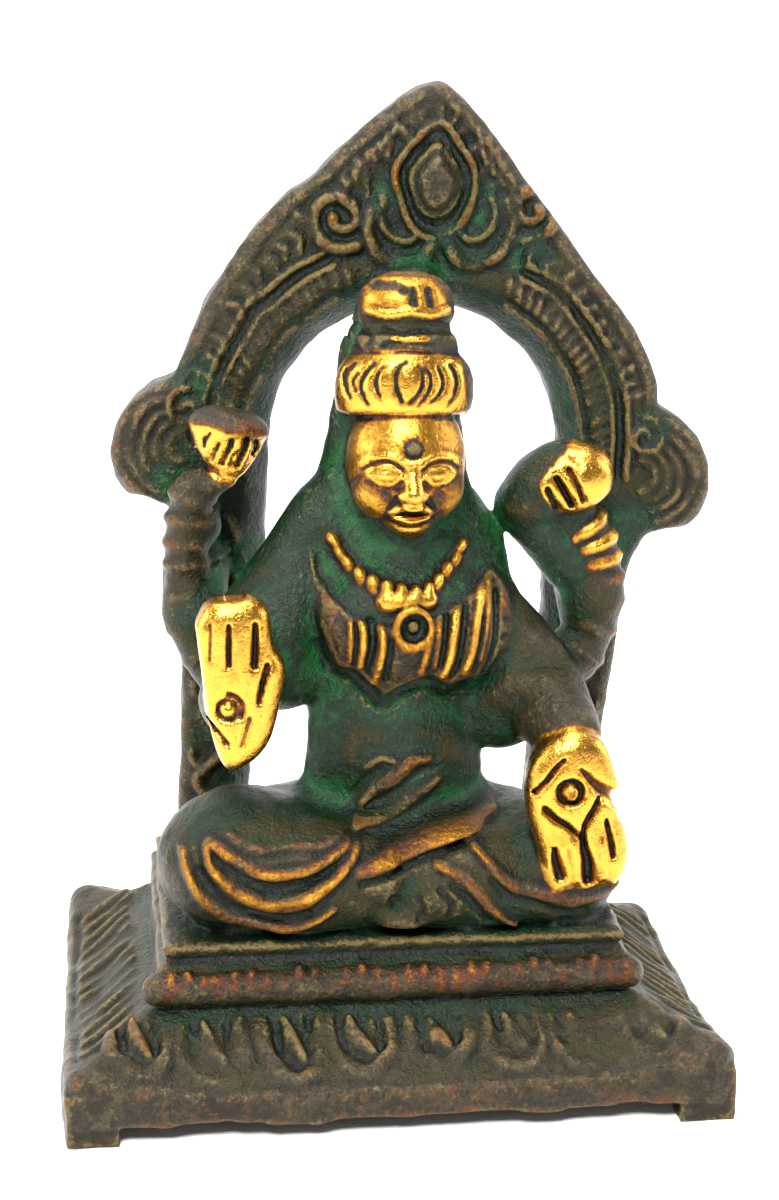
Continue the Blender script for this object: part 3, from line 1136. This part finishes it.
def press_arms():
    wax.press(*rod([(-8.6, -0.6, 43.6), (-11.4, -1.8, 40), (-13.6, -3.6, 35.4), (-14.2, -6.6, 36)],
                   [4.4, 4.4, 3.8, 2.8]), blend=1.2, green=0.7)
    wax.press(*rod([(10, -0.6, 42), (12.4, -2, 38.4), (14.2, -4, 35.2), (15.6, -9.4, 33)],
                   [3.2, 3.9, 4, 3.2]), blend=1.2)
    wax.press(ball((10.8, -1.8, 33.8), (4.6, 4, 4.6)), blend=1.0, green=0.8)
    wax.press(ball((-9.6, -1.2, 38), (4.2, 3.6, 4.8)), blend=1.0, green=0.8)
    wax.press(*rod([(-17.4, 2.4, 42), (-17, 8, 47)], 3), blend=1.0, green=0.8)
    wax.press(*rod([(-17, 2.6, 50), (-17, 7.4, 51)], 2.2), blend=1.0, green=0.8)
    wax.press(*rod([(19.6, 0.8, 43), (19.6, 4.6, 45.5)], 3), blend=1.0, green=0.8)
    wax.press(*rod([(12.2, -0.2, 52.4), (17.4, 0.8, 46.6)], [2.2, 2.6]), blend=1.0, green=1.0)
    wax.press(*rod(LEFT_REAR_ARM, [2.1, 2.1, 2.0, 1.9, 1.8]), blend=0.8)
    wax.press(*rod([(-17.5, 1.0, 53.2), (-16, 0.6, 54.4), (-14.8, 0.4, 55)], [1.8, 1.6, 1.2]), blend=0.6)
    wax.press(*rod(RIGHT_REAR_ARM, [2.4, 2.5, 2.3, 2.1, 1.8]), blend=0.8)
    press_bangles(LEFT_REAR_ARM, (0.2, 0.34, 0.49, 0.64, 0.74, 0.86, 0.98), 2.25, 0.9, 0.12)
    press_bangles(RIGHT_REAR_ARM, (0.12, 0.27, 0.4), 2.75, 1.0, 0.14)
    press_bangles(RIGHT_REAR_ARM, (0.53, 0.63), 2.6, 0.8, 0.34)
    press_bangles(RIGHT_REAR_ARM, (0.72, 0.81, 0.9), 2.5, 0.85, 0.85)
    wax.press(*rod([(9.4, -3.4, 34.6), (11.6, -5.2, 36.2), (13.8, -6.8, 36.6)], [1.6, 2.2, 1.6]), blend=0.8)


press_arms()


# The raised hand and the giving hand are plump plates with the fingers, palm marks and
# creases cut into them. Both are rubbed bright.
RAISED_HAND_FRONT = -10.4
RAISED_HAND = [(-17.7, 43.6), (-16.6, 45.5), (-14, 46.1), (-11.6, 45.2), (-11, 42.2), (-10.6, 41.0),
               (-9.9, 40.0), (-10, 37.8), (-11.2, 32.9), (-13.4, 30.6), (-15.2, 30.6), (-16.6, 35)]
GIVING_HAND_FRONT = -14.2
GIVING_HAND = [(13.2, 33.4), (15.6, 34.4), (18.2, 33.3), (19.6, 30), (20.1, 28.2), (19.8, 26.6), (20.6, 24.8),
               (21, 22.2), (20.2, 20.2), (19.4, 19.6), (16, 19.4), (13.6, 19.6), (12.9, 22.6), (11.6, 27),
               (11.6, 31)]


def hand_plate(outline, front, thickness=4.4, rounding=1.6):
    edge_line = spread(outline + outline[:1], 60)[:-1]
    low = edge_line.min(axis=0)
    high = edge_line.max(axis=0)
    sheet = Relief(low - 4, high + 4)
    sheet.height = outline_distance(edge_line, sheet.u, sheet.v)

    def distance(x, y, z):
        dome = -0.45 * smooth_step(-sheet.at(x + 0 * z, z + 0 * x), 0.5, 4.0)
        side = sheet.at(x + 0 * z, z + 0 * x) + rounding
        through = np.abs(y - front - thickness / 2) - thickness / 2 + rounding + dome
        outside = np.sqrt(np.maximum(side, 0) ** 2 + np.maximum(through, 0) ** 2)
        return outside + np.minimum(np.maximum(side, through), 0) - rounding

    return (low[0], front - 0.5, low[1]), (high[0], front + thickness + 0.5, high[1]), distance


def draw_raised_hand():
    palm = Relief((-20, 28), (-7, 48), 0.08)
    palm.stroke([(-14.9, 43.9), (-14.9, 42), (-14.9, 40.3)], [0.2, 0.3, 0.25], -0.75)
    palm.stroke([(-12.6, 43.9), (-12.6, 42), (-12.7, 40.2)], [0.3, 0.42, 0.35], -0.85)
    palm.stroke([(-16.5, 44.0), (-16.5, 42.6), (-16.6, 40.6)], [0.25, 0.3, 0.2], -0.3)
    palm.stroke([(-11.5, 40.2), (-11.9, 38.8), (-12.3, 36.8)], [0.3, 0.3, 0.2], -0.75)
    turn = np.radians(np.linspace(0, 360, 20))
    palm.stroke([(-15.0 + 0.85 * math.cos(a), 36.2 + 0.9 * math.sin(a)) for a in turn], 0.24, -0.6)
    palm.stroke([(-15.0, 36.2), (-14.98, 36.22)], 0.6, 0.3, polish=1.0)
    palm.stroke([(-14.9, 37.6), (-14.2, 37.3), (-13.7, 36.5), (-13.9, 35.6)], 0.36, -0.6)
    palm.stroke([(-16.5, 34.8), (-15.8, 34.0), (-15.0, 33.0)], 0.26, -0.55)
    palm.stroke([(-13.1, 35.4), (-13.4, 34.4), (-13.7, 33.2)], 0.34, -0.3)
    palm.stroke([(-15.6, 46.0), (-13.8, 46.0)], 0.35, -0.35)
    palm.settle()
    wax.emboss(palm)


def draw_giving_hand():
    palm = Relief((9, 17), (23, 37), 0.08)
    palm.stroke([(12.0, 28.9), (13.1, 30.3), (13.7, 31.2), (14.5, 32.1)], [0.24, 0.32, 0.2], -0.75)
    palm.stroke([(15.9, 31.3), (16.9, 30.2), (18.1, 29.0), (19.8, 27.9)], [0.2, 0.45, 0.8, 0.9], [-0.5, -0.8, -1.0])
    turn = np.radians(np.linspace(0, 360, 24))
    palm.stroke([(15.1 + 1.0 * math.cos(a), 29.1 + 1.0 * math.sin(a)) for a in turn], 0.36, -0.8)
    palm.stroke([(15.1, 29.1), (15.12, 29.12)], 0.75, 0.45)
    palm.stroke([(12.9, 27.5), (13.9, 26.6), (14.9, 26.0), (16.2, 24.8)], [0.35, 0.3, 0.2], -0.75)
    palm.stroke([(17.8, 28.4), (17.2, 27.2), (16.6, 26.2), (16.4, 25.2)], [0.4, 0.35, 0.3], -0.8)
    palm.stroke([(16.4, 25.3), (16.5, 24.0), (16.9, 22.6), (17.2, 20.6)], [0.3, 0.4, 0.65, 0.7], -1.0)
    palm.stroke([(18.5, 26.3), (18.8, 25.2), (19.1, 24.0), (19.3, 22.8)], [0.2, 0.35, 0.3], -0.8)
    palm.stroke([(13.9, 23.7), (14.1, 22.6), (14.6, 21.0)], [0.25, 0.5, 0.55], -0.9)
    palm.stroke([(15.4, 24.4), (15.8, 22.6), (16.0, 20.6)], 0.4, 0.25, polish=1.0)
    palm.stroke([(18.1, 24.4), (18.3, 22.6), (18.5, 20.8)], 0.35, 0.25, polish=1.0)
    palm.settle()
    wax.emboss(palm)


wax.press(hand_plate(RAISED_HAND, RAISED_HAND_FRONT), blend=0.6, polish=1.0)
draw_raised_hand()
wax.press(hand_plate(GIVING_HAND, GIVING_HAND_FRONT), blend=0.6, polish=1.0)
draw_giving_hand()


# Each rear hand holds a lotus bud, a fluted cup under a plain lid.
def lotus_buds():
    left = (-14.3, 0.8, 58.6)
    cup_profile = [(0.5, 54.6), (1.4, 55.3), (2.4, 56.5), (3.2, 57.9), (3.55, 59.2), (3.4, 59.8)]
    wax.press(turned(cup_profile, (-14.3, 0.3), 0.85, 0.1), blend=0.25, polish=0.95)
    wax.press(ball((left[0], 0.3, 59.4), (3.75, 3.1, 1.9), (0, 8, 0)), blend=0.2, polish=0.1, green=0.25)
    cup = Relief((-20, 52), (-9, 63), 0.08)
    cup.area([(-18.2, 60.0), (-16.2, 60.0), (-14.6, 59.4), (-12, 58.9), (-10.8, 58.8), (-12, 56.6),
              (-14.2, 54.6), (-15.6, 54.8), (-17.6, 57)], -0.2, 0.25, polish=1.0, green=-1.0)
    for points, width, depth in (
        ([(-16.0, 59.4), (-16.4, 58.8), (-16.6, 57.9)], 0.16, -0.3),
        ([(-15.3, 58.4), (-15.6, 57.4), (-15.8, 56.7)], 0.22, -0.3),
        ([(-14.1, 58.7), (-14.3, 58.0), (-14.6, 57.2), (-14.9, 56.4)], 0.26, -0.6),
        ([(-13.8, 57.4), (-14.1, 56.8), (-14.1, 56.1)], 0.22, -0.4),
        ([(-12.8, 58.8), (-12.9, 58.0), (-13.3, 57.0), (-13.6, 56.2)], 0.34, -0.8),
        ([(-12.0, 58.6), (-11.9, 58.0), (-12.2, 57.2)], 0.24, -0.6),
    ):
        cup.stroke(points, width, depth)
    cup.settle()
    wax.emboss(cup)
    right = (14.7, -0.8, 54.4)
    wax.press(ball(right, (4.9, 3.3, 3.2), (0, -42, 0)), blend=0.4, green=1.0)
    wax.press(ball((17.3, -1.4, 54.9), (3.6, 3.0, 3.1), (0, -32, 0)), blend=0.3, polish=0.95)
    wax.press(*rod([(17.2, -0.4, 53.4), (17.6, 0, 50.6)], [2.2, 1.5]), blend=0.6, green=0.7)
    flutes = Relief((9, 47), (23, 61), 0.08)
    flutes.area([(13.4, 54.9), (14.2, 55.9), (15.2, 56.9), (16.4, 57.9), (18.2, 57.6), (20.2, 56), (20.6, 54),
                 (18.9, 52.7), (16.6, 52), (14.8, 52.6), (13.9, 53.6)], 0.15, 0.25, polish=1.0, green=-1.0)
    for points, width, depth in (
        ([(16.1, 56.2), (16.7, 55.2), (17.2, 54.1), (17.6, 53.2)], 0.26, -0.7),
        ([(15.0, 55.4), (15.5, 54.6), (16.2, 53.5), (16.6, 52.8)], 0.34, -0.9),
        ([(14.2, 54.4), (14.7, 53.4), (15.2, 52.5)], 0.3, -0.7),
        ([(16.4, 57.2), (17.1, 56.5)], 0.18, -0.3),
    ):
        flutes.stroke(points, width, depth)
    flutes.settle()
    wax.emboss(flutes)


lotus_buds()


# The wax is cast in brass, in a mould that leaves it uneven. Where the grid changes sign a
# skin of four-sided faces is laid, and flat stretches are thinned to fewer, larger faces.
MOST_FACES = 195000
CAST_LUMPS = [(7.0, 0.16, 0.3), (2.6, 0.15, 0.75), (1.3, 0.1, 0.85)]


def roughen():
    """Lumps of a few sizes, each with its height and how far polishing took it away."""
    for seed, (size, height, worn) in enumerate(CAST_LUMPS):
        lumps = unevenness(wax.counts, wax.pitch, size, seed)
        lumps *= height * (1 - worn * np.clip(wax.polish, 0, 1))
        wax.field += lumps


roughen()


def skin_of(wax):
    """Corners and four-sided faces of the surface, one corner in each cell it crosses."""
    field = wax.field
    inside = field < 0
    counts = np.array(field.shape)
    strides = np.array([counts[1] * counts[2], counts[2], 1])
    flat = field.ravel()
    sums = {}
    faces = []
    cells_list, points_list = [], []
    for axis in range(3):
        lower = [slice(None)] * 3
        upper = [slice(None)] * 3
        lower[axis] = slice(0, -1)
        upper[axis] = slice(1, None)
        crossing = np.argwhere(inside[tuple(lower)] != inside[tuple(upper)])
        inner = np.all((crossing > 0) & (crossing < counts - 2), axis=1)
        crossing = crossing[inner]
        start = crossing @ strides
        here = flat[start]
        there = flat[start + strides[axis]]
        point = crossing.astype(np.float32)
        point[:, axis] += here / (here - there)
        side_a, side_b = [k for k in range(3) if k != axis]
        ring = []
        for step_a, step_b in ((0, 0), (-1, 0), (-1, -1), (0, -1)):
            cell = start + step_a * strides[side_a] + step_b * strides[side_b]
            ring.append(cell)
            cells_list.append(cell)
            points_list.append(point)
        ring = np.stack(ring, axis=1)
        flip = (here < 0) == (axis == 1)
        ring[flip] = ring[flip][:, ::-1]
        faces.append(ring)
    cells = np.concatenate(cells_list)
    points = np.concatenate(points_list)
    unique, index = np.unique(cells, return_inverse=True)
    weight = np.bincount(index)
    corners = np.stack([np.bincount(index, points[:, k]) / weight for k in range(3)], axis=1)
    faces = np.searchsorted(unique, np.concatenate(faces))
    return corners * wax.pitch + wax.low, faces


corners, faces = skin_of(wax)
mesh = bpy.data.meshes.new("lakshmi_statue")
mesh.vertices.add(len(corners))
mesh.vertices.foreach_set("co", ((corners + np.array(casting_shift)) * MM).astype(np.float32).ravel())
mesh.loops.add(len(faces) * 4)
mesh.loops.foreach_set("vertex_index", faces.ravel().astype(np.int32))
mesh.polygons.add(len(faces))
mesh.polygons.foreach_set("loop_start", np.arange(0, len(faces) * 4, 4, dtype=np.int32))
mesh.polygons.foreach_set("loop_total", np.full(len(faces), 4, np.int32))
mesh.update(calc_edges=True)
mesh.validate()
statue = bpy.data.objects.new("lakshmi_statue", mesh)
bpy.context.scene.collection.objects.link(statue)
fewer = statue.modifiers.new("fewer", "DECIMATE")
fewer.ratio = min(1.0, MOST_FACES / (2 * len(faces)))
fewer.use_collapse_triangulate = True
cast = bpy.data.meshes.new_from_object(statue.evaluated_get(bpy.context.evaluated_depsgraph_get()))
statue.modifiers.clear()
statue.data = cast
cast.shade_smooth()


# Worn and sheltered places take the finish differently, so each corner of the skin keeps
# how rubbed and how green it is, how sharp an edge it is on and how sheltered it is.
def softened(grid, pitch, reach):
    """A grid averaged over a reach in millimetres."""
    for _ in range(max(1, round(2 * (reach / pitch) ** 2))):
        for axis in range(3):
            line = np.moveaxis(grid, axis, 0)
            mixed = line.copy()
            mixed[1:-1] = line[1:-1] * 0.5 + (line[:-2] + line[2:]) * 0.25
            grid = np.moveaxis(mixed, 0, axis)
    return grid


def read_grid(grid, step, places):
    """A grid's values at any places. Step says how many of the wax's points it skips."""
    spot = np.clip((places - wax.low) / (wax.pitch * step), 0, np.array(grid.shape) - 1.001)
    base = spot.astype(int)
    rest = spot - base
    total = np.zeros(len(spot), np.float32)
    for corner in np.ndindex(2, 2, 2):
        i, j, k = (base + corner).T
        total += np.prod(np.where(corner, rest, 1 - rest), axis=1) * grid[i, j, k]
    return total


def standing_out(step, reach):
    """How far each place stands out of its surroundings: less than nothing in a hollow."""
    coarse = wax.field[::step, ::step, ::step]
    return read_grid(softened(coarse, wax.pitch * step, reach), step, places) - read_grid(coarse, step, places)


places = np.empty(len(cast.vertices) * 3, np.float32)
cast.vertices.foreach_get("co", places)
places = places.reshape(-1, 3) / MM - np.array(casting_shift)
directions = np.empty(len(cast.vertices) * 3, np.float32)
cast.vertex_normals.foreach_get("vector", directions)
directions = directions.reshape(-1, 3)
solid = (wax.field[::4, ::4, ::4] < 0).astype(np.float32)
finish = {
    "rubbed": read_grid(wax.polish, 1, places),
    "green": read_grid(wax.green, 1, places),
    "edge": standing_out(1, 0.26),
    "swell": standing_out(3, 1.0),
    "shelter": read_grid(softened(solid, wax.pitch * 4, 2.6), 4, places + directions * 1.8),
}
for name, values in finish.items():
    cast.attributes.new(name, "FLOAT", "POINT").data.foreach_set("value", values.astype(np.float32))


# The brass has gone brown and green in the hollows and is rubbed back to gold where hands
# touch it, with red-brown between the two.
class Tone:
    """A value or a colour on its way through a material, so that sums read as sums."""

    def __init__(self, socket):
        self.socket = socket
        self.tree = socket.id_data

    def made(self, kind, settings, inputs, output=0):
        node = self.tree.nodes.new(kind)
        for name, value in settings.items():
            setattr(node, name, value)
        for name, value in inputs.items():
            if isinstance(value, Tone):
                self.tree.links.new(value.socket, node.inputs[name])
            else:
                node.inputs[name].default_value = value
        return Tone(node.outputs[output])

    def math(self, operation, first, second):
        kind = "ShaderNodeMath" if self.socket.type == "VALUE" else "ShaderNodeVectorMath"
        return self.made(kind, {"operation": operation}, {0: first, 1: second})

    def __add__(self, other):
        return self.math("ADD", self, other)

    def __radd__(self, other):
        return self.math("ADD", other, self)

    def __sub__(self, other):
        return self.math("SUBTRACT", self, other)

    def __rsub__(self, other):
        return self.math("SUBTRACT", other, self)

    def __mul__(self, other):
        return self.math("MULTIPLY", self, other)

    def __rmul__(self, other):
        return self.math("MULTIPLY", other, self)

    def rise(self, low, high):
        """Nothing up to the low value, one from the high value, smooth between."""
        return self.made("ShaderNodeMapRange", {"interpolation_type": "SMOOTHSTEP"},
                         {"Value": self, "From Min": low, "From Max": high})

    def towards(self, colour, share):
        return self.made("ShaderNodeMix", {"data_type": "RGBA"}, {0: share, 6: self, 7: colour}, 2)


material = bpy.data.materials.new("patinated brass")
material.use_nodes = True
nodes = material.node_tree.nodes
shader = nodes["Principled BSDF"]
spot = Tone(nodes.new("ShaderNodeTexCoord").outputs["Object"]) * (1 / MM, 1 / MM, 1 / MM)


def corner_value(name):
    return spot.made("ShaderNodeAttribute", {"attribute_name": name}, {}, "Fac")


def cloud(size, detail=2.0, roughness=0.5, stretch=(1, 1, 1)):
    """Soft noise about nought, its lumps of a size in millimetres."""
    place = spot if stretch == (1, 1, 1) else spot * stretch
    return spot.made("ShaderNodeTexNoise", {}, {
        "Vector": place, "Scale": 1 / size, "Detail": detail, "Roughness": roughness}) - 0.5


BROWN = (0.012, 0.008, 0.003, 1)
GREY_BROWN = (0.052, 0.040, 0.019, 1)
STRAW = (0.130, 0.092, 0.024, 1)
OLIVE = (0.015, 0.0135, 0.0012, 1)
DEEP_GREEN = (0.0002, 0.0085, 0.0011, 1)
EMERALD = (0.0010, 0.050, 0.009, 1)
RED_BROWN = (0.066, 0.010, 0.001, 1)
DARK = (0.0008, 0.0014, 0.0005, 1)
WORN = (0.180, 0.078, 0.007, 1)
GOLD = (0.500, 0.255, 0.036, 1)

rubbed = corner_value("rubbed")
green = corner_value("green")
edge = corner_value("edge")
swell = corner_value("swell")
shelter = corner_value("shelter")
broad = cloud(7.0, 3.0)
patches = cloud(2.4, 4.0, 0.65)
mottle = cloud(0.9, 4.0, 0.7)
grain = cloud(0.4, 3.0, 0.7)

groove = (edge * -1.0).rise(0.010, 0.055)
wear = rubbed + edge * 1.5 + swell * 0.3 + patches * 0.5 + mottle * 0.45 - shelter * 0.35 - groove * 0.4
greenness = green * 0.8 - edge * 2.0 - swell * 0.8 + shelter * 1.5 + patches * 0.9 + broad * 0.9 - rubbed

bronze = spot.made("ShaderNodeRGB", {}, {})
bronze.socket.default_value = BROWN
bronze = bronze.towards(GREY_BROWN, (patches + mottle * 1.2 + grain + edge * 5.0).rise(-0.15, 0.55))
bronze = bronze.towards(OLIVE, (greenness + mottle * 0.8).rise(-0.1, 0.5))
verdigris = bronze.towards(DEEP_GREEN, (greenness + mottle * 0.4).rise(0.35, 0.72))
verdigris = verdigris.towards(EMERALD, (greenness + mottle * 1.8 + grain).rise(0.9, 1.7) * 0.85)
verdigris = verdigris.towards(DARK, (groove + mottle * 1.4 + grain).rise(0.3, 1.0) * 0.85)
verdigris = verdigris.towards(DARK, shelter.rise(0.5, 0.85) * 0.7)
verdigris = verdigris.towards(STRAW, (grain + mottle * 0.6 + edge * 3.5).rise(0.16, 0.34) * 0.6)
redness = (wear + mottle * 0.5).rise(0.2, 0.42)
colour = verdigris.towards(RED_BROWN, redness * 0.75)
colour = colour.towards(WORN, (wear + grain * 0.5).rise(0.34, 0.6))
shine = (wear + mottle * 0.3 + grain * 0.4).rise(0.5, 1.02)
colour = colour.towards(GOLD, shine)
metal = wear.rise(0.25, 0.75) * 0.65 + 0.35 - greenness.rise(0.4, 0.9) * (1 - shine) * 0.3
dull = 0.42 - shine * 0.16 + mottle * 0.25 + grain * 0.25
pitting = (patches * 0.5 + mottle * 0.9 + grain * 0.5) * (1.2 - rubbed.rise(0.2, 0.9) * 0.85)
bumps = spot.made("ShaderNodeBump", {}, {"Height": pitting, "Distance": 0.0003, "Strength": 1.0})
for socket, value in (("Base Color", colour), ("Metallic", metal), ("Roughness", dull), ("Normal", bumps)):
    material.node_tree.links.new(value.socket, shader.inputs[socket])
shader.inputs["Specular IOR Level"].default_value = 0.25
cast.materials.append(material)
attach(statue, "root")
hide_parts("lakshmi_casting")


# A plain pale sheet lies under the statue and curves up behind it. Soft light comes from
# above the front, with a broad panel at each side.
SHEET_HALF = 0.9
SHEET_FRONT = -0.5
SHEET_BEND = 0.35
SHEET_CURVE = 0.3
SHEET_TOP = 0.9
profile = [(SHEET_FRONT, 0.0), (SHEET_BEND, 0.0)]
for angle in np.radians(np.linspace(6, 90, 15)):
    profile.append((
        SHEET_BEND + SHEET_CURVE * math.sin(angle),
        SHEET_CURVE * (1 - math.cos(angle)),
    ))
profile.append((SHEET_BEND + SHEET_CURVE, SHEET_TOP))
floor = bpy.data.objects.new("floor", bpy.data.meshes.new("floor"))
floor.data.from_pydata(
    [(side * SHEET_HALF, y, z) for y, z in profile for side in (-1, 1)],
    [],
    [(2 * i, 2 * i + 1, 2 * i + 3, 2 * i + 2) for i in range(len(profile) - 1)],
)
floor.data.shade_smooth()
bpy.context.scene.collection.objects.link(floor)
paper = bpy.data.materials.new("pale paper")
paper.use_nodes = True
paper_shader = paper.node_tree.nodes["Principled BSDF"]
paper_shader.inputs["Base Color"].default_value = (0.93, 0.93, 0.92, 1)
paper_shader.inputs["Roughness"].default_value = 0.9
floor.data.materials.append(paper)

world = bpy.data.worlds.new("studio")
bpy.context.scene.world = world
world.use_nodes = True
world.node_tree.nodes["Background"].inputs["Color"].default_value = (1, 1, 1, 1)
world.node_tree.nodes["Background"].inputs["Strength"].default_value = 0.34


def soft_light(name, spot, size, power):
    light = bpy.data.objects.new(name, bpy.data.lights.new(name, "AREA"))
    light.data.size = size
    light.data.energy = power
    light.location = spot
    aim = Vector((0, 0, 0.04)) - light.location
    light.rotation_euler = aim.to_track_quat("-Z", "Y").to_euler()
    bpy.context.scene.collection.objects.link(light)


soft_light("key", Vector((-0.10, -0.34, 0.42)), 0.14, 6)
soft_light("left panel", Vector((-0.5, 0.02, 0.2)), 0.3, 2.4)
soft_light("right panel", Vector((0.5, 0.05, 0.22)), 0.3, 2.2)
soft_light("backdrop light", Vector((0.0, 0.1, 0.9)), 0.5, 14)
bpy.context.scene.view_settings.view_transform = "Standard"
